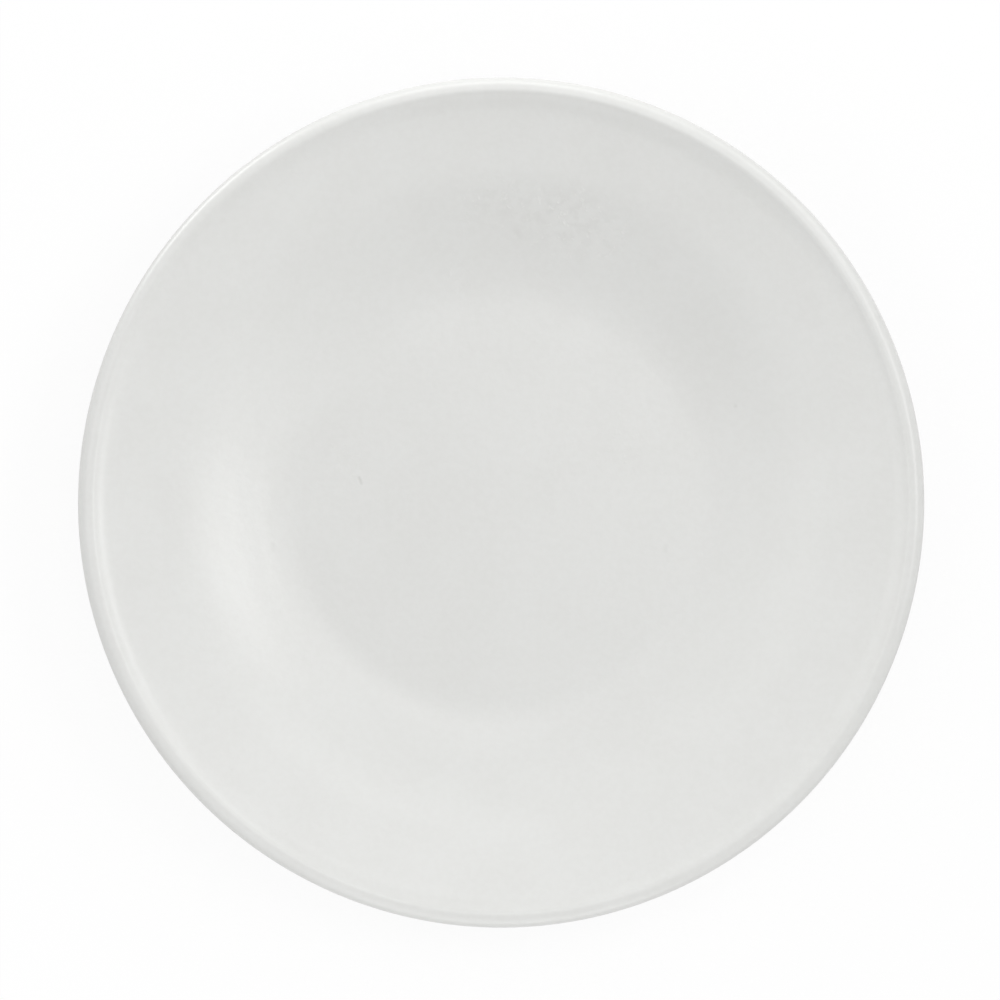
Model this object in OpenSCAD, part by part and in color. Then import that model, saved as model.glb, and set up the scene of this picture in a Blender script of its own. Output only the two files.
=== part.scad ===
// Coupe dinner plate: a pressed stoneware body under a satin white glaze.
// Z is up, the foot stands on z = 0 and the plate is centred on the Z axis. Lengths are in millimetres.

/* [Overall] */
// Diameter over the glazed lip
plate_d = 270; // [250:1:310]
// Height of the glazed lip above the table
plate_h = 27; // [24:0.5:34]

/* [Well] */
// Diameter of the flat floor of the well
well_d = 128; // [100:1:140]
// Thickness of the body under the well
floor_t = 4.1; // [3:0.1:5]

/* [Wall] */
// Thickness of the body in the wall
wall_t = 4; // [3:0.1:5]
// Width of the straight outer flare, between the curved wall and the hollow inside the lip
flare_w = 17.3; // [10:0.1:24]
// Slope of the outer flare
flare_angle = 11; // [6:1:16]
// How far the level floor pulls on the start of the wall's curve
floor_pull = 17; // [8:1:24]
// How far the flare pulls on the end of the wall's curve
flare_pull = 15; // [8:1:24]

/* [Lip] */
// Radius of the lip's outer face over the glaze, from its crest outwards
lip_r = 4.1; // [3.2:0.1:4.8]
// Radius of the crest towards the well, over the glaze
crest_r = 2.8; // [2:0.1:3.4]
// Radius of the lip's edge over the glaze, where it turns in underneath
edge_r = 1.9; // [1.6:0.1:2.4]
// Slope of the outer face where that edge starts
edge_angle = 70; // [55:1:80]
// Radius of the soft hollow just inside the lip, on the body
hollow_r = 14; // [8:1:20]
// Slope of the lip's inner face where it leaves the hollow
lip_angle = 35; // [22:1:45]
// Slope at which the edge ends underneath, counted from the crest
lip_turn = 176; // [160:1:184]

/* [Foot] */
// Diameter over the foot ring where it stands
foot_d = 150; // [130:1:164]
// Width of the flat bearing face of the foot ring
foot_w = 2.6; // [1.5:0.1:5]
// Depth of the glazed recess inside the foot ring
recess_h = 3.6; // [3.2:0.1:6]
// Draft of the foot ring's two sides
foot_draft = 18; // [8:1:30]
// Corner radius on both edges of the bearing face
foot_edge_r = 0.7; // [0.3:0.1:1]
// Height at which the outer side of the foot ring starts to curve into the wall
foot_side_h = 2.5; // [2.4:0.1:3]
// How far that curve spreads under the wall
foot_spread = 6.5; // [4:0.5:10]
// Radius between the foot ring and the roof of the recess
recess_r = 2; // [1:0.1:2.4]

/* [Glaze] */
// Thickness of the fired glaze
glaze_t = 0.4; // [0.2:0.05:0.6]
// Height of the wiped glaze line above the table, on both sides of the foot ring
glaze_line = 1.4; // [1.2:0.1:1.6]
// Length over which the glaze rounds off at that line
glaze_roll = 0.7; // [0.3:0.1:0.7]

/* [Hidden] */

// Segments around the plate, and along each kind of curve in the outline
$fn = 180;
wall_steps = 40;
hollow_steps = 10;
crest_steps = 8;
lip_steps = 12;
edge_steps = 14;
fillet_steps = 10;
corner_steps = 6;
roll_steps = 5;

quarter_turn = 90;
half_turn = 180;

// Handle of a cubic curve that follows a quarter circle, as a share of the distance to the corner
round_share = 0.5523;
// Handles of the curve under the lip, as shares of the straight distance it crosses
under_share = 0.36;

// The outline is a path of [radius, height, heading] on the body's surface. It runs from the middle of
// the face outwards, round the lip and back under the plate to the middle of the recess. The outward
// normal of a heading a is [-sin(a), cos(a)].

// Point of an arc at heading a; r is below zero where the surface is hollow
function arc_point(centre, r, a) = [centre.x - r * sin(a), centre.y + r * cos(a), a];

// Arc from heading a to heading b
function arc(centre, r, a, b, steps) =
    [for (i = [0:steps]) arc_point(centre, r, a + (b - a) * i / steps)];

// Cubic curve from path point p to path point q, with handles of length hp and hq along their headings
function curve(p, hp, q, hq, steps) =
    let (
        c = [p.x + hp * cos(p.z), p.y + hp * sin(p.z)],
        d = [q.x - hq * cos(q.z), q.y - hq * sin(q.z)]
    )
    [for (i = [0:steps])
        let (
            t = i / steps,
            u = 1 - t,
            x = u^3 * p.x + 3 * u^2 * t * c.x + 3 * u * t^2 * d.x + t^3 * q.x,
            y = u^3 * p.y + 3 * u^2 * t * c.y + 3 * u * t^2 * d.y + t^3 * q.y,
            dx = u^2 * (c.x - p.x) + 2 * u * t * (d.x - c.x) + t^2 * (q.x - d.x),
            dy = u^2 * (c.y - p.y) + 2 * u * t * (d.y - c.y) + t^2 * (q.y - d.y)
        )
        [x, y, atan2(dy, dx)]];

// Distance from p along its heading to the corner where p's and q's headings cross
function to_corner(p, q) =
    ((q.x - p.x) * sin(q.z) - (q.y - p.y) * cos(q.z)) / sin(q.z - p.z);

// Rounded corner between two path points
function fillet(p, q, steps) =
    curve(p, round_share * to_corner(p, q), q, -round_share * to_corner(q, p), steps);

// Path point moved outwards from the surface by t
function lifted(p, t) = [p.x - t * sin(p.z), p.y + t * cos(p.z)];

// The same place on the other side of a wall of thickness t, heading back
function other_side(p, t) = [p.x + t * sin(p.z), p.y - t * cos(p.z), p.z - half_turn];

// The same list, last item first
function reverse(list) = [for (i = [len(list) - 1:-1:0]) list[i]];

// Lip and the hollow inside it
edge_x = plate_d / 2 - edge_r;
crest_x = edge_x - (lip_r - edge_r) * sin(edge_angle);
edge_centre = [edge_x, plate_h - lip_r + (lip_r - edge_r) * cos(edge_angle)];
lip_path = concat(
    arc([crest_x, plate_h - crest_r], crest_r - glaze_t, lip_angle, 0, crest_steps),
    arc([crest_x, plate_h - lip_r], lip_r - glaze_t, 0, -edge_angle, lip_steps),
    arc(edge_centre, edge_r - glaze_t, -edge_angle, -lip_turn, edge_steps)
);
hollow_centre = lifted(lip_path[0], hollow_r);
hollow_path = arc(hollow_centre, -hollow_r, flare_angle, lip_angle, hollow_steps);
flare_end = hollow_path[0];

// Well and wall
recess_z = recess_h + glaze_t;
floor_z = recess_z + floor_t;
well_edge = [well_d / 2, floor_z, 0];
flare_start = [flare_end.x - flare_w, flare_end.y - flare_w * tan(flare_angle), flare_angle];
wall_path = curve(well_edge, floor_pull, flare_start, flare_pull, wall_steps);

// Foot ring: both corners of the bearing face and the tops of the straight sides
foot_outer = [foot_d / 2 - foot_edge_r, foot_edge_r];
foot_inner = [foot_outer.x - foot_w, foot_edge_r];
outer_heading = -quarter_turn - foot_draft;
inner_heading = foot_draft - half_turn - quarter_turn;
outer_edge = arc(foot_outer, foot_edge_r, outer_heading, -half_turn, corner_steps);
inner_edge = arc(foot_inner, foot_edge_r, -half_turn, inner_heading, corner_steps);

// Place at height h on a straight side of the foot ring, which meets the ring's corner at path point p
function on_side(p, h) = [p.x + (h - p.y) / tan(p.z), h, p.z];

outer_start = outer_edge[0];
inner_end = inner_edge[corner_steps];
outer_top = on_side(outer_start, foot_side_h);
outer_line = on_side(outer_start, glaze_line);
inner_line = on_side(inner_end, glaze_line);

// Round between the ring's inner side and the roof of the recess, kept above the end of the glaze
roof_corner = on_side(inner_end, recess_z);
roof_turn = -half_turn - inner_heading;
side_run = (recess_z - glaze_line) / cos(foot_draft) - glaze_roll;
roof_r = min(recess_r, side_run / tan(roof_turn / 2));
roof_centre = [roof_corner.x - roof_r * tan(roof_turn / 2), recess_z - roof_r];

// Underside: it follows the face, as thick as the floor at the well and as the wall at the flare
function body_t(i) = floor_t + (wall_t - floor_t) * i / wall_steps;
foot_reach = outer_top.x + foot_spread;
under_wall = [for (i = [wall_steps:-1:0]) other_side(wall_path[i], body_t(i))];
under_path = [for (p = under_wall) if (p.x > foot_reach) p];
root = under_path[len(under_path) - 1];
under_flare_end = other_side(flare_end, wall_t);
lip_end = lip_path[len(lip_path) - 1];
lip_gap = norm([lip_end.x - under_flare_end.x, lip_end.y - under_flare_end.y]);

// Surface under the glaze coat, from the middle of the face to the glaze line outside the foot ring
coat_path = concat(
    [[0, floor_z, 0]],
    wall_path,
    hollow_path,
    lip_path,
    curve(lip_end, under_share * lip_gap, under_flare_end, under_share * lip_gap, fillet_steps),
    under_path,
    fillet(root, outer_top, fillet_steps),
    [outer_line]
);

// Surface of the bare foot, between the two glaze lines
foot_path = concat(outer_edge, inner_edge);

// Surface under the glaze in the recess, from the glaze line inside the foot ring to the middle
recess_path = concat(
    [inner_line],
    arc(roof_centre, -roof_r, inner_heading, -half_turn, fillet_steps),
    [[0, recess_z, -half_turn]]
);

// Rounded end of the glaze at path point p; way is 1 where the glaze ends in the path's own direction
function glaze_end(p, way) =
    [for (i = [0:roll_steps - 1])
        let (
            turn = quarter_turn * i / roll_steps,
            back = way * glaze_roll * (1 - cos(turn)),
            raised = lifted(p, glaze_t * sin(turn))
        )
        [raised.x - back * cos(p.z), raised.y - back * sin(p.z)]];

// Outer end of the full thickness of glaze beside path point p
function full_glaze(p, way) =
    let (raised = lifted(p, glaze_t))
    [raised.x - way * glaze_roll * cos(p.z), raised.y - way * glaze_roll * sin(p.z)];

// Fired stoneware body with its well, wall, lip and foot ring, bare only on the foot
module clay_body()
    color("#c9c0b2")
        rotate_extrude()
            polygon([for (p = concat(coat_path, foot_path, recess_path)) [p.x, p.y]]);

// One coat of glaze over the face, the lip and the back, wiped off at the foot ring
module glaze_coat() {
    last = len(coat_path) - 1;
    under = [for (p = coat_path) [p.x, p.y]];
    over = [for (i = [0:last - 1]) lifted(coat_path[i], glaze_t)];
    color("#dfdfdc")
        rotate_extrude()
            polygon(concat(
                under,
                glaze_end(coat_path[last], 1),
                [full_glaze(coat_path[last], 1)],
                reverse(over)
            ));
}

// Separate patch of glaze in the recess inside the foot ring
module foot_well_glaze() {
    last = len(recess_path) - 1;
    under = [for (p = recess_path) [p.x, p.y]];
    over = [for (i = [1:last]) lifted(recess_path[i], glaze_t)];
    color("#dfdfdc")
        rotate_extrude()
            polygon(concat(
                under,
                reverse(over),
                [full_glaze(recess_path[0], -1)],
                reverse(glaze_end(recess_path[0], -1))
            ));
}

clay_body();
glaze_coat();
foot_well_glaze();
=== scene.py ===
import math

import bpy
import numpy as np
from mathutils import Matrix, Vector


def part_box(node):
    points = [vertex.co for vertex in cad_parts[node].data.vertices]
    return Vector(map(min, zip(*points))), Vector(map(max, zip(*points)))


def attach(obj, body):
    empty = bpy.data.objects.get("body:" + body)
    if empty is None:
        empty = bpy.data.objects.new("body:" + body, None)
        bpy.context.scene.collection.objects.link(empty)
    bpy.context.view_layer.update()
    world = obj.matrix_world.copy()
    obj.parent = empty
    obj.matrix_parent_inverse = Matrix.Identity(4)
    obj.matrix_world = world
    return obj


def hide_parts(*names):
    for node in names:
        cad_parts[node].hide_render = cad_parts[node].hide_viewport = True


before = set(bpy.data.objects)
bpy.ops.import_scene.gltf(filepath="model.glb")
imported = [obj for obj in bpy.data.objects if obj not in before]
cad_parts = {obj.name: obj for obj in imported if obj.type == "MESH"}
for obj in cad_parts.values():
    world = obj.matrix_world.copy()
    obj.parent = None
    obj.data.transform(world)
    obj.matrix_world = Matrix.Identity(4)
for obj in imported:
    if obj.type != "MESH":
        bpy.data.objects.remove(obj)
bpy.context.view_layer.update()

# Lengths are in metres, in the plate's own frame: Z is up, the foot stands on z = 0, +X is the
# photograph's right and +Y its top.
MM = 0.001

# Outline of the plate. The overall sizes come from the frame, the others repeat the part's own.
PLATE_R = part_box("glaze_coat")[1].x
PLATE_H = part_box("glaze_coat")[1].z

# Well, wall and outer flare: their sizes, and how far the level floor and the flare pull on the wall
WELL_R = 64 * MM
FLOOR_T = 4.1 * MM
WALL_T = 4 * MM
FLARE_W = 17.3 * MM
FLARE_ANGLE = math.radians(11)
FLOOR_PULL = 17 * MM
FLARE_PULL = 15 * MM

# Lip over the glaze: its outer face, its crest towards the well and the edge that turns in
# underneath. LIP_ANGLE is its slope where it leaves the hollow inside it.
LIP_R = 4.1 * MM
CREST_R = 2.8 * MM
EDGE_R = 1.9 * MM
EDGE_ANGLE = math.radians(70)
HOLLOW_R = 14 * MM
LIP_ANGLE = math.radians(35)
LIP_TURN = math.radians(176)

# Foot ring and the recess inside it
FOOT_R = 75 * MM
FOOT_W = 2.6 * MM
RECESS_H = 3.6 * MM
FOOT_DRAFT = math.radians(18)
FOOT_EDGE_R = 0.7 * MM
FOOT_SIDE_H = 2.5 * MM
FOOT_SPREAD = 6.5 * MM
RECESS_R = 2 * MM

# Glaze: its thickness, the height at which it ends at the foot and the length of its rounded end
GLAZE_T = 0.4 * MM
GLAZE_LINE = 1.4 * MM
GLAZE_ROLL = 0.7 * MM

# Handles of a cubic curve as shares of a distance: to the corner of a rounded one, and under the lip
ROUND_SHARE = 0.5523
UNDER_SHARE = 0.36

# What the hand and the kiln leave on the form. The rim lies a little further in than the frame's, so
# that its oval stays inside the plate's box. Turns are in radians.
DOME_H = 0.7 * MM
RIM_INSET = 0.5 * MM
RIM_R = PLATE_R - RIM_INSET
RIM_OVAL = 0.32 * MM
RIM_OVAL_TURN = 0.26
RIM_THREE_LOBED = 0.15
RIM_WARP = 0.25 * MM
RIM_WARP_TURN = 0.7

# Stretches where the wall stands higher or lower. Each has its direction, the cosines of the angle
# from there at which it sets in and is full, its height, and the radii at which it starts, is full,
# begins to fade and is gone.
WALL_MOVES = (
    (math.radians(200), 0.35, 0.80, 0.55 * MM, 70 * MM, 81 * MM, 86 * MM, 126 * MM),
    (math.radians(36), 0.75, 0.97, -0.45 * MM, 66 * MM, 92 * MM, 96 * MM, 128 * MM),
)
# Heights between which these stretches set in, so that the foot stays level
WALL_MOVE_LOW = 5.5 * MM
WALL_MOVE_FULL = 9 * MM

# Soft swells: how many go round the plate, their turn for each metre outwards, and their start
SWELL_H = 0.03 * MM
SWELLS = ((3, 60, 0.4), (5, -85, 2.1))

# Throwing rings: how far they waver, and how much their height comes and goes
RING_H = 0.009 * MM
RING_PITCH = 4.2 * MM
RING_WAVER = 0.6
RING_WAVER_TURN = 1
RING_DRIFT = 0.4
RING_DRIFT_PER_M = 170
RING_DRIFT_TURN = 1.3

# Fineness of the revolved surfaces: points around, and rings along each stretch of the outline
AROUND = 420
FLOOR_RINGS = 40
WALL_RINGS = 34
FLARE_RINGS = 10
HOLLOW_RINGS = 8
CREST_RINGS = 8
LIP_RINGS = 12
EDGE_RINGS = 12
UNDER_LIP_RINGS = 6
FILLET_RINGS = 8
CORNER_RINGS = 6
ROLL_RINGS = 5
# One in so many points is kept where the glaze lies hidden against the body
BACK_EVERY = 4
# Faces that meet at a larger angle than this are shaded with an edge between them
SHARP_ANGLE = math.radians(50)

# The photograph: its size, and the middle of the plate and the mean radius of its outline in it
IMAGE_PX = 1000
CENTRE_PX = (501.3, 502.5)
LIP_PX = 424.2

# The camera's height, how far it sees, and its sensor
CAMERA_H = 1.4
CAMERA_FAR = 10
SENSOR_MM = 36

# Pits in the glaze by their pixels in the photograph. Each has a radius, a depth and a share by which
# its middle is darkened.
# The first three make one long pit.
PITS = (
    (359.0, 478.3, 0.95 * MM, 0.080 * MM, 0.25),
    (360.0, 480.9, 0.95 * MM, 0.080 * MM, 0.25),
    (360.9, 483.6, 0.90 * MM, 0.070 * MM, 0.23),
    (272, 546, 1.70 * MM, 0.030 * MM, 0.08),
    (273, 551, 1.50 * MM, 0.030 * MM, 0.06),
    (665, 547, 1.50 * MM, 0.030 * MM, 0.08),
    (665, 551, 1.30 * MM, 0.030 * MM, 0.07),
    (735.5, 406, 1.00 * MM, 0.040 * MM, 0.17),
    (517, 230, 2.50 * MM, 0.050 * MM, 0.08),
    (518, 236, 2.20 * MM, 0.050 * MM, 0.07),
    (692, 717, 1.10 * MM, 0.015 * MM, 0.06),
    (232, 770, 0.90 * MM, 0.012 * MM, 0.06),
    (286, 834, 0.90 * MM, 0.012 * MM, 0.06),
    (628, 879, 0.90 * MM, 0.012 * MM, 0.06),
    (248, 368, 0.95 * MM, 0.020 * MM, 0.06),
)
# Share by which heights count in the distance from a mark, so that it reaches well up and down
MARK_FLATNESS = 0.25
# Patches where the glaze dried rippled, with a highlight painted on the ripples and shade painted
# between them, by their pixels, each with its reach and how strong it is
RIPPLED = (
    (580, 222, 19 * MM, 0.75),
    (540, 212, 17 * MM, 0.6),
    (500, 196, 13 * MM, 0.5),
    (618, 240, 12 * MM, 0.5),
    (456, 276, 9 * MM, 0.35),
    (472, 208, 14 * MM, 0.4),
    (652, 262, 10 * MM, 0.35),
    (628, 452, 16 * MM, 0.3),
    (346, 452, 14 * MM, 0.3),
)


# Outline functions. A path point is [radius, height, heading]; the outward normal of a heading a is
# (-sin a, cos a).

def arc(centre, r, a, b, steps):
    """Arc from heading a to heading b; r is below zero where the surface is hollow."""
    turn = np.linspace(a, b, steps + 1)
    return np.column_stack((centre[0] - r * np.sin(turn), centre[1] + r * np.cos(turn), turn))


def curve(p, hp, q, hq, steps):
    """Cubic curve from p to q, with handles of length hp and hq along their headings."""
    a, d = p[:2], q[:2]
    b = a + hp * np.array((math.cos(p[2]), math.sin(p[2])))
    c = d - hq * np.array((math.cos(q[2]), math.sin(q[2])))
    t = np.linspace(0, 1, steps + 1)[:, None]
    u = 1 - t
    place = u**3 * a + 3 * u**2 * t * b + 3 * u * t**2 * c + t**3 * d
    way = u**2 * (b - a) + 2 * u * t * (c - b) + t**2 * (d - c)
    heading = np.unwrap(np.arctan2(way[:, 1], way[:, 0]))
    heading += 2 * math.pi * round((p[2] - heading[0]) / (2 * math.pi))
    return np.column_stack((place, heading))


def straight(p, q, steps):
    """Points from p to q on a straight stretch."""
    return np.linspace(p, q, steps + 1)


def fillet(p, q, steps):
    """Rounded corner between two path points."""
    def to_corner(a, b):
        across = (b[0] - a[0]) * math.sin(b[2]) - (b[1] - a[1]) * math.cos(b[2])
        return across / math.sin(b[2] - a[2])
    return curve(p, ROUND_SHARE * to_corner(p, q), q, -ROUND_SHARE * to_corner(q, p), steps)


def lifted(path, t):
    """Path moved outwards from the surface by t."""
    r, z, heading = np.atleast_2d(path).T
    return np.column_stack((r - t * np.sin(heading), z + t * np.cos(heading), heading))


def other_side(path, t):
    """The same places on the other side of a wall of thickness t, heading back."""
    moved = lifted(path, -np.asarray(t))
    moved[:, 2] -= math.pi
    return moved


def rim_height():
    """Height at which the lip reaches furthest out."""
    return PLATE_H - LIP_R + (LIP_R - EDGE_R) * math.cos(EDGE_ANGLE)


def outline():
    """The body's surface under the coat, its bare foot, and its surface under the recess glaze."""
    crest_r = PLATE_R - EDGE_R - (LIP_R - EDGE_R) * math.sin(EDGE_ANGLE)
    edge_centre = (PLATE_R - EDGE_R, rim_height())
    lip = np.vstack((
        arc((crest_r, PLATE_H - CREST_R), CREST_R - GLAZE_T, LIP_ANGLE, 0, CREST_RINGS),
        arc((crest_r, PLATE_H - LIP_R), LIP_R - GLAZE_T, 0, -EDGE_ANGLE, LIP_RINGS)[1:],
        arc(edge_centre, EDGE_R - GLAZE_T, -EDGE_ANGLE, -LIP_TURN, EDGE_RINGS)[1:],
    ))
    hollow_centre = lifted(lip[0], HOLLOW_R)[0]
    hollow = arc(hollow_centre, -HOLLOW_R, FLARE_ANGLE, LIP_ANGLE, HOLLOW_RINGS)
    flare_end = hollow[0]
    recess_z = RECESS_H + GLAZE_T
    floor_z = recess_z + FLOOR_T
    flare_z = flare_end[1] - FLARE_W * math.tan(FLARE_ANGLE)
    flare_start = np.array((flare_end[0] - FLARE_W, flare_z, FLARE_ANGLE))
    well_edge = np.array((WELL_R, floor_z, 0))
    wall = curve(well_edge, FLOOR_PULL, flare_start, FLARE_PULL, WALL_RINGS)

    # Floor of the well, very slightly domed
    reach = np.linspace(0, 1, FLOOR_RINGS + 1)
    rise = DOME_H * (1 - reach**2) ** 2
    slope = -4 * DOME_H / WELL_R * reach * (1 - reach**2)
    floor = np.column_stack((WELL_R * reach, floor_z + rise, np.arctan(slope)))

    # Foot ring
    outer_centre = (FOOT_R - FOOT_EDGE_R, FOOT_EDGE_R)
    inner_centre = (outer_centre[0] - FOOT_W, FOOT_EDGE_R)
    outer_heading = -math.pi / 2 - FOOT_DRAFT
    inner_heading = FOOT_DRAFT - 1.5 * math.pi
    outer_edge = arc(outer_centre, FOOT_EDGE_R, outer_heading, -math.pi, CORNER_RINGS)
    inner_edge = arc(inner_centre, FOOT_EDGE_R, -math.pi, inner_heading, CORNER_RINGS)

    def on_side(p, h):
        return np.array((p[0] + (h - p[1]) / math.tan(p[2]), h, p[2]))

    outer_top = on_side(outer_edge[0], FOOT_SIDE_H)
    outer_line = on_side(outer_edge[0], GLAZE_LINE)
    inner_line = on_side(inner_edge[-1], GLAZE_LINE)
    roof_corner = on_side(inner_edge[-1], recess_z)
    roof_in = RECESS_R * math.tan((-math.pi - inner_heading) / 2)
    roof_centre = (roof_corner[0] - roof_in, recess_z - RECESS_R)
    roof = arc(roof_centre, -RECESS_R, inner_heading, -math.pi, FILLET_RINGS)
    roof_middle = np.array((0, recess_z, -math.pi))

    # Underside of the wall, which follows the face
    body_t = np.linspace(FLOOR_T, WALL_T, len(wall))
    under_wall = other_side(wall, body_t)[::-1]
    under_wall = under_wall[under_wall[:, 0] > outer_top[0] + FOOT_SPREAD]
    under_flare = other_side(flare_end, WALL_T)[0]
    gap = math.dist(lip[-1][:2], under_flare[:2])
    under_lip = curve(lip[-1], UNDER_SHARE * gap, under_flare, UNDER_SHARE * gap, UNDER_LIP_RINGS)

    coat = np.vstack((
        floor,
        wall[1:],
        straight(flare_start, flare_end, FLARE_RINGS)[1:],
        hollow[1:],
        lip[1:],
        under_lip[1:],
        straight(under_flare, under_wall[0], FLARE_RINGS)[1:],
        under_wall[1:],
        fillet(under_wall[-1], outer_top, FILLET_RINGS)[1:],
        outer_line[None],
    ))
    foot = np.vstack((outer_edge, inner_edge))
    recess = np.vstack((inner_line[None], roof, straight(roof[-1], roof_middle, FLOOR_RINGS)[1:]))
    return coat, foot, recess


def glaze_end(p, way):
    """Rounded end of the glaze at path point p. way is 1 where the glaze ends in the path's own
    direction, and -1 where it starts there."""
    turn = np.linspace(0, math.pi / 2, ROLL_RINGS + 1)
    back = way * GLAZE_ROLL * (1 - np.cos(turn))
    raised = GLAZE_T * np.sin(turn)
    r = p[0] - raised * math.sin(p[2]) - back * math.cos(p[2])
    z = p[1] + raised * math.cos(p[2]) - back * math.sin(p[2])
    return np.column_stack((r, z))


def thinned(path):
    """Every few points of a path that lies hidden against another piece, with both its ends."""
    keep = sorted({*range(0, len(path), BACK_EVERY), len(path) - 1})
    return path[keep]


# Surfaces

def step(value, low, high):
    """0 below low, 1 above high and a soft rise between them."""
    share = np.clip((value - low) / (high - low), 0, 1)
    return share * share * (3 - 2 * share)


def hand_shaped(r, z, angle):
    """Places on the plate after the hand and the kiln: a slightly oval rim, a warp, stretches where the
    wall stands higher or lower, and soft swells."""
    out = np.clip((r - FOOT_R) / (PLATE_R - FOOT_R), 0, 1)
    oval = -RIM_OVAL * (np.cos(2 * angle + RIM_OVAL_TURN) + RIM_THREE_LOBED * np.cos(3 * angle))
    moved_r = r * (1 - (RIM_INSET - oval * out) / PLATE_R)

    wall_move = 0
    for way, none, full, height, start, risen, fading, gone in WALL_MOVES:
        around = step(np.cos(angle - way), none, full)
        across = step(r, start, risen) * (1 - step(r, fading, gone))
        wall_move = wall_move + height * around * across
    wall_move = wall_move * step(z, WALL_MOVE_LOW, WALL_MOVE_FULL)

    # The warp and the swells only lower the surface, so that it stays inside the plate's box.
    warp = RIM_WARP * out**2 * (1 + np.cos(2 * angle + RIM_WARP_TURN)) / 2
    swell = sum(np.sin(count * angle + twist * r + start) - 1 for count, twist, start in SWELLS)
    moved_z = z + wall_move - warp + SWELL_H * out * swell
    return moved_r, moved_z


def throwing_rings(r, angle):
    """Height of the faint rings that the turning leaves in the glazed surface."""
    waver = RING_WAVER * np.sin(2 * angle + RING_WAVER_TURN)
    phase = 2 * math.pi * r / RING_PITCH + angle + waver
    fade = np.clip(r / (2 * RING_PITCH), 0, 1)
    drift = np.sin(RING_DRIFT_PER_M * r + RING_DRIFT_TURN * np.sin(angle))
    return RING_H * fade * (1 - RING_DRIFT + RING_DRIFT * drift) * np.sin(phase)


def revolve(name, path, ringed):
    """Closed surface of a path that starts and ends on the axis. ringed holds 1 for each point that has
    throwing rings and 0 for each other one, or is None where no point has any."""
    angle = np.linspace(0, 2 * math.pi, AROUND, endpoint=False)[None]
    r, z = path[1:-1, 0][:, None], path[1:-1, 1][:, None]
    moved_r, moved_z = hand_shaped(r + 0 * angle, z + 0 * angle, angle)
    if ringed is not None:
        side = ringed[1:-1][:, None]
        moved_z = moved_z + side * throwing_rings(moved_r, angle)
    rings = np.stack((moved_r * np.cos(angle), moved_r * np.sin(angle), moved_z), axis=2)
    count = len(rings)
    points = np.vstack((rings.reshape(-1, 3), (0, 0, path[0, 1]), (0, 0, path[-1, 1])))

    row = np.arange(count - 1)[:, None] * AROUND
    here = np.arange(AROUND)[None]
    there = (here + 1) % AROUND
    quads = np.stack((row + here, row + AROUND + here, row + AROUND + there, row + there), axis=2)
    first, last = count * AROUND, count * AROUND + 1
    here, there = here[0], there[0]
    top = np.column_stack((np.full(AROUND, first), here, there))
    base = (count - 1) * AROUND
    bottom = np.column_stack((base + here, np.full(AROUND, last), base + there))
    faces = [*quads.reshape(-1, 4).tolist(), *top.tolist(), *bottom.tolist()]

    mesh = bpy.data.meshes.new(name)
    mesh.from_pydata(points.tolist(), [], faces)
    mesh.validate()
    mesh.shade_smooth()
    mesh.set_sharp_from_angle(angle=SHARP_ANGLE)
    piece = bpy.data.objects.new(name, mesh)
    bpy.context.scene.collection.objects.link(piece)
    return piece


def make_pieces(coat, foot, recess):
    """The plate's three pieces, each in place of its node."""
    body = revolve("stoneware_body", np.vstack((coat[:, :2], foot[:, :2], recess[:, :2])), None)

    skin = np.vstack((lifted(coat[:-1], GLAZE_T)[:, :2], glaze_end(coat[-1], 1)[::-1]))
    back = thinned(coat[:, :2][::-1])[1:]
    ringed = np.concatenate((np.ones(len(skin)), np.zeros(len(back))))
    glaze = revolve("satin_glaze", np.vstack((skin, back)), ringed)

    back = thinned(recess[:, :2][::-1])
    skin = np.vstack((glaze_end(recess[0], -1)[1:], lifted(recess[1:], GLAZE_T)[:, :2]))
    ringed = np.concatenate((np.zeros(len(back)), np.ones(len(skin))))
    patch = revolve("recess_glaze", np.vstack((back, skin)), ringed)
    return body, glaze, patch


# Materials

class Graph:
    """A new material's node tree, with short calls to add and join its nodes."""

    def __init__(self, name):
        self.material = bpy.data.materials.new(name)
        self.material.use_nodes = True
        self.tree = self.material.node_tree
        self.tree.nodes.clear()

    def add(self, kind, inputs=None, **settings):
        """A node of that kind. An input takes a number, a colour or another node's output."""
        made = self.tree.nodes.new("ShaderNode" + kind)
        for key, value in settings.items():
            setattr(made, key, value)
        for key, value in (inputs or {}).items():
            if isinstance(value, bpy.types.NodeSocket):
                self.tree.links.new(value, made.inputs[key])
            else:
                made.inputs[key].default_value = value
        return made

    def noise(self, place, size, detail=2.0, roughness=0.5):
        """Noise whose features are about size across."""
        settings = {"Vector": place, "Scale": 1 / size, "Detail": detail, "Roughness": roughness}
        return self.add("TexNoise", settings).outputs["Fac"]

    def spread(self, value, low, high, to_low, to_high):
        """value carried softly from one range to another, held at its ends."""
        ends = {"Value": value, "From Min": low, "From Max": high, "To Min": to_low, "To Max": to_high}
        return self.add("MapRange", ends, interpolation_type="SMOOTHSTEP").outputs["Result"]

    def blend(self, share, a, b):
        """Colour between a and b. The node's colours are its inputs 6 and 7 and its output 2."""
        made = self.add("Mix", data_type="RGBA")
        for socket, value in zip((made.inputs[0], made.inputs[6], made.inputs[7]), (share, a, b)):
            if isinstance(value, bpy.types.NodeSocket):
                self.tree.links.new(value, socket)
            else:
                socket.default_value = value
        return made.outputs[2]

    def math(self, operation, a, b):
        """Arithmetic on two values."""
        return self.add("Math", {0: a, 1: b}, operation=operation).outputs[0]

    def bump(self, height, distance, normal=None):
        """Surface normal with height laid over it."""
        made = self.add("Bump", {"Height": height, "Distance": distance, "Strength": 1.0})
        if normal is not None:
            self.tree.links.new(normal, made.inputs["Normal"])
        return made.outputs["Normal"]

    def finish(self, shader):
        """The material, with that shader on its surface."""
        self.add("OutputMaterial", {"Surface": shader})
        return self.material


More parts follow.
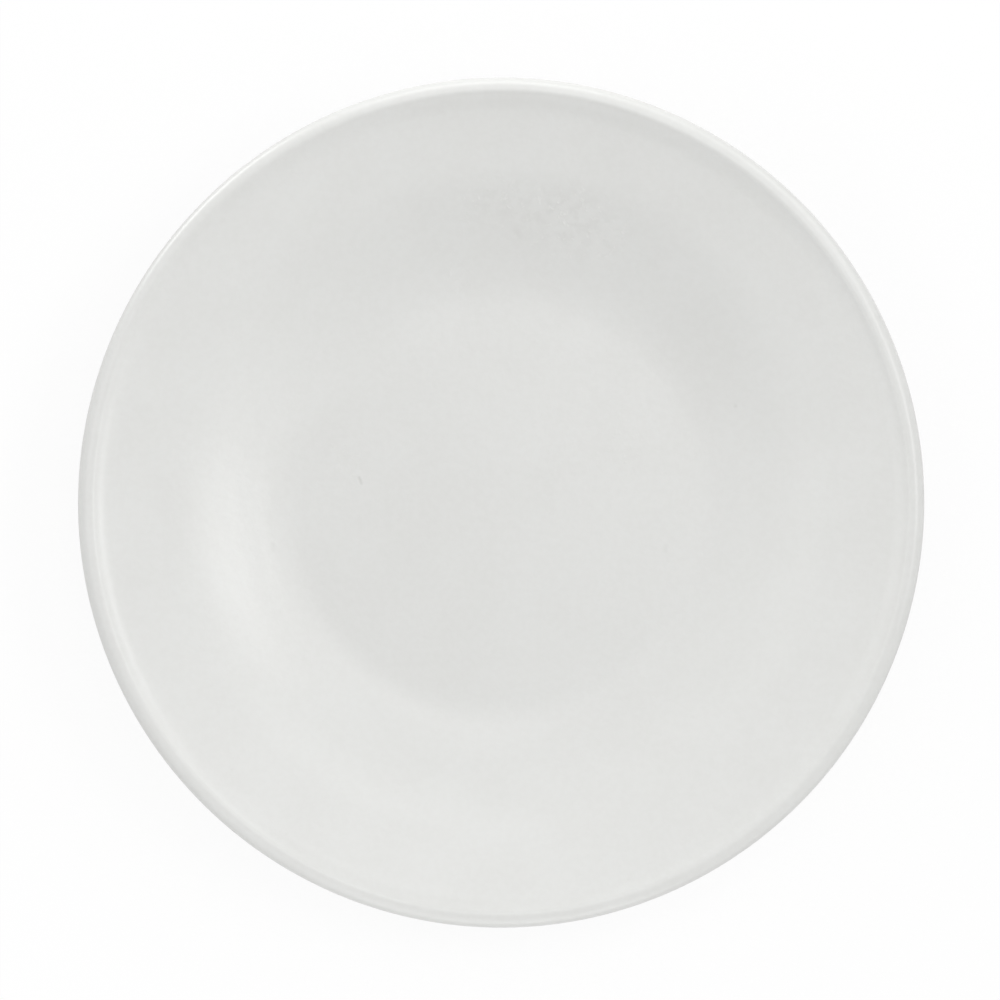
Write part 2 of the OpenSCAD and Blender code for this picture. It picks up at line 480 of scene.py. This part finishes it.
# Colours of the glaze and the clay
GLAZE_WHITE = (0.722, 0.726, 0.711, 1)
GLAZE_SHADE = (0.700, 0.702, 0.685, 1)
GLAZE_PAINTED_HIGHLIGHT = (0.830, 0.832, 0.815, 1)
GLAZE_THIN = (0.640, 0.620, 0.570, 1)
GLAZE_RIM = (0.640, 0.642, 0.626, 1)
# Colour towards which the pits are darkened, and the shade painted in the rippled patches
PIT_AND_SHADE_COLOUR = (0.395, 0.388, 0.360, 1)
CLAY_LIGHT = (0.600, 0.545, 0.465, 1)
CLAY_DARK = (0.500, 0.440, 0.360, 1)
IRON_SPECK = (0.180, 0.120, 0.080, 1)

# Values of a noise between which its effect rises from none to full
MOST_VALUES = (0.3, 0.7)
MOTTLE_VALUES = (0.35, 0.65)
RIPPLE_VALUES = (0.59, 0.75)
DIP_VALUES = (0.42, 0.62)
SPECK_VALUES = (0.70, 0.76)

# Glaze: the sizes of its noises, and the heights that they give its surface
CLOUD_SIZE = 22 * MM
MOTTLE_SIZE = 2.2 * MM
GRAIN_SIZE = 0.7 * MM
PEEL_SIZE = 5 * MM
RIPPLE_SIZE = 1.9 * MM
DIP_SIZE = 3.6 * MM
PEEL_H = 0.09 * MM
MOTTLE_H = 0.016 * MM
GRAIN_H = 0.008 * MM
RIPPLE_H = 0.1 * MM

# Glaze: how strong the highlight painted on its ripples' tops is, how dark the shade painted in the
# hollows between them is, and how it takes the light
RIPPLE_PAINTED_HIGHLIGHT = 0.5
DIP_PAINTED_SHADE = 0.10
GLAZE_ROUGHNESS = (0.285, 0.33)
GLAZE_IOR = 1.5

# Glaze: how far it shows thin at the foot, how far it gets darker at the outer edge of the rim, and how
# wide each does so
FOOT_THIN = 0.8
FOOT_THIN_W = 1.3 * MM
RIM_EDGE_DARK = 0.5
RIM_EDGE_DARK_START = RIM_R - 1.6 * MM
RIM_EDGE_DARK_FULL = RIM_R - 0.3 * MM

# Clay: the same for its noises, and its roughness
CLAY_CLOUD_SIZE = 9 * MM
CLAY_GRAIN_SIZE = 0.5 * MM
SPECK_SIZE = 1.1 * MM
CLAY_GRAIN_H = 0.08 * MM
CLAY_ROUGHNESS = (0.78, 0.92)


def glaze_material(pits, rippled):
    """Satin white glaze: a faint mottle, soft orange peel, rippled patches with a highlight painted on
    the ripples' tops and shade painted in blotches between them, pits, a coat that gets thin at the
    foot, and a darker outer edge of the rim."""
    g = Graph("satin_white_glaze")
    place = g.add("TexCoord").outputs["Object"]
    cloud = g.noise(place, CLOUD_SIZE, 3)
    mottle = g.noise(place, MOTTLE_SIZE, 4, 0.6)
    grain = g.noise(place, GRAIN_SIZE, 3, 0.6)
    peel = g.noise(place, PEEL_SIZE, 2)
    ripples = g.spread(g.noise(place, RIPPLE_SIZE, 2, 0.5), *RIPPLE_VALUES, 0, 1)
    dip_shade = g.spread(g.noise(place, DIP_SIZE, 3, 0.6), *DIP_VALUES, 0, 1)

    # Clouds and mottle share the way from the darker to the paler glaze.
    cloudy = g.spread(cloud, *MOST_VALUES, 0, 0.5)
    mottled = g.spread(mottle, *MOTTLE_VALUES, 0, 0.5)
    colour = g.blend(g.math("ADD", cloudy, mottled), GLAZE_SHADE, GLAZE_WHITE)

    # Thin at the foot, and darker at the outer edge of the rim
    height = g.add("SeparateXYZ", {"Vector": place}).outputs["Z"]
    foot_thin = g.spread(height, GLAZE_LINE, GLAZE_LINE + FOOT_THIN_W, FOOT_THIN, 0)
    colour = g.blend(foot_thin, colour, GLAZE_THIN)
    level = g.add("VectorMath", {0: place, 1: (1, 1, 0)}, operation="MULTIPLY").outputs["Vector"]
    radius = g.add("VectorMath", {0: level}, operation="LENGTH").outputs["Value"]
    rim_edge_dark = g.spread(radius, RIM_EDGE_DARK_START, RIM_EDGE_DARK_FULL, 0, RIM_EDGE_DARK)
    colour = g.blend(rim_edge_dark, colour, GLAZE_RIM)

    # Marks
    squash = (1, 1, MARK_FLATNESS)
    flat = g.add("VectorMath", {0: place, 1: squash}, operation="MULTIPLY").outputs["Vector"]

    def bowl_at(middle, reach):
        """1 in the middle of a mark at that place, fading to 0 at its reach."""
        flat_middle = (middle[0], middle[1], middle[2] * MARK_FLATNESS)
        away = g.add("VectorMath", {0: flat, 1: flat_middle}, operation="DISTANCE").outputs["Value"]
        return g.spread(away, 0, reach, 1, 0)

    pit_dark_and_painted_shade, depth = None, None
    for middle, reach, deep, darkened in pits:
        bowl = bowl_at(middle, reach)
        dark = g.math("MULTIPLY", bowl, darkened)
        dug = g.math("MULTIPLY", bowl, deep)
        pit_dark_and_painted_shade = dark if pit_dark_and_painted_shade is None else g.math("ADD", pit_dark_and_painted_shade, dark)
        depth = dug if depth is None else g.math("ADD", depth, dug)
    patch = None
    for middle, reach, share in rippled:
        here = g.math("MULTIPLY", bowl_at(middle, reach), share)
        patch = here if patch is None else g.math("ADD", patch, here)
    # Painted shade: blotches in the rippled patches are darkened, standing for the shaded hollows
    # between ripples.
    dip_shade = g.math("MULTIPLY", patch, dip_shade)
    pit_dark_and_painted_shade = g.math("ADD", pit_dark_and_painted_shade, g.math("MULTIPLY", dip_shade, DIP_PAINTED_SHADE))
    colour = g.blend(pit_dark_and_painted_shade, colour, PIT_AND_SHADE_COLOUR)
    ripples = g.math("MULTIPLY", ripples, patch)
    # Painted highlight: the ripples' tops are made paler, standing for their glossy glints.
    colour = g.blend(g.math("MULTIPLY", ripples, RIPPLE_PAINTED_HIGHLIGHT), colour, GLAZE_PAINTED_HIGHLIGHT)

    # The pits' depth is a length already, and is taken downwards.
    roughness = g.spread(mottle, *MOST_VALUES, *GLAZE_ROUGHNESS)
    normal = g.bump(peel, PEEL_H)
    normal = g.bump(mottle, MOTTLE_H, normal)
    normal = g.bump(grain, GRAIN_H, normal)
    normal = g.bump(ripples, RIPPLE_H, normal)
    normal = g.bump(depth, -1.0, normal)
    shader = g.add("BsdfPrincipled", {
        "Base Color": colour,
        "Roughness": roughness,
        "IOR": GLAZE_IOR,
        "Normal": normal,
    })
    return g.finish(shader.outputs["BSDF"])


def clay_material():
    """Bare fired stoneware: warm grey, grainy, with a few iron specks."""
    g = Graph("bare_stoneware")
    place = g.add("TexCoord").outputs["Object"]
    cloud = g.noise(place, CLAY_CLOUD_SIZE, 3)
    grain = g.noise(place, CLAY_GRAIN_SIZE, 4, 0.7)
    specks = g.noise(place, SPECK_SIZE, 1)
    cloudy = g.spread(cloud, *MOST_VALUES, 0, 0.5)
    grainy = g.spread(grain, *MOST_VALUES, 0, 0.5)
    colour = g.blend(g.math("ADD", cloudy, grainy), CLAY_DARK, CLAY_LIGHT)
    colour = g.blend(g.spread(specks, *SPECK_VALUES, 0, 1), colour, IRON_SPECK)
    shader = g.add("BsdfPrincipled", {
        "Base Color": colour,
        "Roughness": g.spread(grain, *MOST_VALUES, *CLAY_ROUGHNESS),
        "Normal": g.bump(grain, CLAY_GRAIN_H),
    })
    return g.finish(shader.outputs["BSDF"])


# Paper under the plate: its colour, its fibres and how far it shows plain white to the camera
WHITE = (1, 1, 1, 1)
PAPER = (0.95, 0.95, 0.95, 1)
PAPER_GLOW = 0.9
FIBRE_SIZE = 1.5 * MM
FIBRE_H = 0.02 * MM


def floor_material():
    """White studio paper, which shows white with a soft shadow of the plate."""
    g = Graph("white_paper")
    place = g.add("TexCoord").outputs["Object"]
    fibre = g.noise(place, FIBRE_SIZE, 3)
    paper = g.add("BsdfDiffuse", {"Color": PAPER, "Normal": g.bump(fibre, FIBRE_H)}).outputs[0]
    glow = g.add("Emission", {"Color": WHITE, "Strength": 1.0}).outputs[0]
    share = g.math("MULTIPLY", g.add("LightPath").outputs["Is Camera Ray"], PAPER_GLOW)
    return g.finish(g.add("MixShader", {0: share, 1: paper, 2: glow}).outputs[0])


# Studio

# Width of the paper, strength of the even light, and height at which the lamps are pointed
FLOOR_SIZE = 6
WORLD_LIGHT = 0.4615
AIM_H = 0.02

# Lamps: azimuth (0 is +X, 90 is +Y) and elevation in degrees, distance, width and height in metres,
# and power in watts
LAMPS = {
    "key": (14, 46, 1.6, 1.1, 0.5, 5.65),
    "top": (60, 70, 1.6, 0.8, 0.8, 2.6),
    "back_right": (45, 25, 1.6, 0.8, 0.8, 3.7),
    "back_left": (135, 5, 1.6, 0.9, 0.22, 7.2),
    "left": (180, 55, 0.65, 0.4, 0.4, 0.365),
    "front_left": (240, 40, 0.65, 0.4, 0.4, 0.46),
    "front": (270, 20, 0.65, 0.6, 0.4, 0.76),
    "rim": (90, 17, 0.42, 0.4, 0.1, 0.29),
}


def make_floor():
    """The white paper that the plate stands on."""
    half = FLOOR_SIZE / 2
    mesh = bpy.data.meshes.new("floor")
    corners = [(-half, -half, 0), (half, -half, 0), (half, half, 0), (-half, half, 0)]
    mesh.from_pydata(corners, [], [(0, 1, 2, 3)])
    floor = bpy.data.objects.new("floor", mesh)
    bpy.context.scene.collection.objects.link(floor)
    mesh.materials.append(floor_material())


def make_world():
    """Even light from all round, which shows white to the camera, in reflections and through glass."""
    world = bpy.data.worlds.new("studio")
    bpy.context.scene.world = world
    world.use_nodes = True
    tree = world.node_tree
    tree.nodes.clear()
    rays = tree.nodes.new("ShaderNodeLightPath").outputs
    shown = rays["Is Camera Ray"]
    for name in ("Is Glossy Ray", "Is Transmission Ray"):
        most = tree.nodes.new("ShaderNodeMath")
        most.operation = "MAXIMUM"
        tree.links.new(shown, most.inputs[0])
        tree.links.new(rays[name], most.inputs[1])
        shown = most.outputs[0]
    light = tree.nodes.new("ShaderNodeBackground")
    light.inputs["Color"].default_value = WHITE
    light.inputs["Strength"].default_value = WORLD_LIGHT
    white = tree.nodes.new("ShaderNodeBackground")
    white.inputs["Color"].default_value = WHITE
    white.inputs["Strength"].default_value = 1.0
    mix = tree.nodes.new("ShaderNodeMixShader")
    tree.links.new(shown, mix.inputs[0])
    tree.links.new(light.outputs[0], mix.inputs[1])
    tree.links.new(white.outputs[0], mix.inputs[2])
    out = tree.nodes.new("ShaderNodeOutputWorld")
    tree.links.new(mix.outputs[0], out.inputs["Surface"])


def make_lamps():
    """The soft lamps, all pointed at the plate."""
    aim = Vector((0, 0, AIM_H))
    for name, (azimuth, elevation, away, width, height, power) in LAMPS.items():
        data = bpy.data.lights.new(name, "AREA")
        data.shape = "ELLIPSE"
        data.size = width
        data.size_y = height
        data.energy = power
        lamp = bpy.data.objects.new(name, data)
        a, e = math.radians(azimuth), math.radians(elevation)
        way = Vector((math.cos(a) * math.cos(e), math.sin(a) * math.cos(e), math.sin(e)))
        lamp.location = aim + way * away
        lamp.rotation_mode = "QUATERNION"
        lamp.rotation_quaternion = (-way).to_track_quat("-Z", "Y")
        bpy.context.scene.collection.objects.link(lamp)


def over_plate(px, py):
    """Place that the pixel shows, x and y, at the height of the rim."""
    per_px = RIM_R / LIP_PX
    return (px - CENTRE_PX[0]) * per_px, (CENTRE_PX[1] - py) * per_px


def make_camera():
    """Camera straight above, framed so that the rim meets the photograph's outline."""
    away = CAMERA_H - rim_height()
    data = bpy.data.cameras.new("camera")
    data.sensor_width = SENSOR_MM
    data.lens = SENSOR_MM * LIP_PX / IMAGE_PX * away / RIM_R
    data.clip_end = CAMERA_FAR
    camera = bpy.data.objects.new("camera", data)
    camera.location = (*over_plate(IMAGE_PX / 2, IMAGE_PX / 2), CAMERA_H)
    bpy.context.scene.collection.objects.link(camera)
    bpy.context.scene.camera = camera


def on_face(coat, marks):
    """The marks, each with the place on the plate's face instead of its pixel."""
    face = lifted(coat[: FLOOR_RINGS + WALL_RINGS + FLARE_RINGS], GLAZE_T)
    placed = []
    for px, py, *rest in marks:
        x, y = over_plate(px, py)
        z = np.interp(math.hypot(x, y), face[:, 0], face[:, 1])
        further = (CAMERA_H - z) / (CAMERA_H - rim_height())
        placed.append(((x * further, y * further, z), *rest))
    return placed


coat, foot, recess = outline()
body, glaze, patch = make_pieces(coat, foot, recess)
glaze_look = glaze_material(on_face(coat, PITS), on_face(coat, RIPPLED))
for piece, node, slot, look in (
    (body, "clay_body", "clay", clay_material()),
    (glaze, "glaze_coat", "glaze", glaze_look),
    (patch, "foot_well_glaze", "glaze", glaze_look),
):
    piece.data.materials.append(look)
    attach(piece, "root")
    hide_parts(node)

make_floor()
make_world()
make_lamps()
make_camera()

scene = bpy.context.scene
scene.view_settings.view_transform = "Standard"
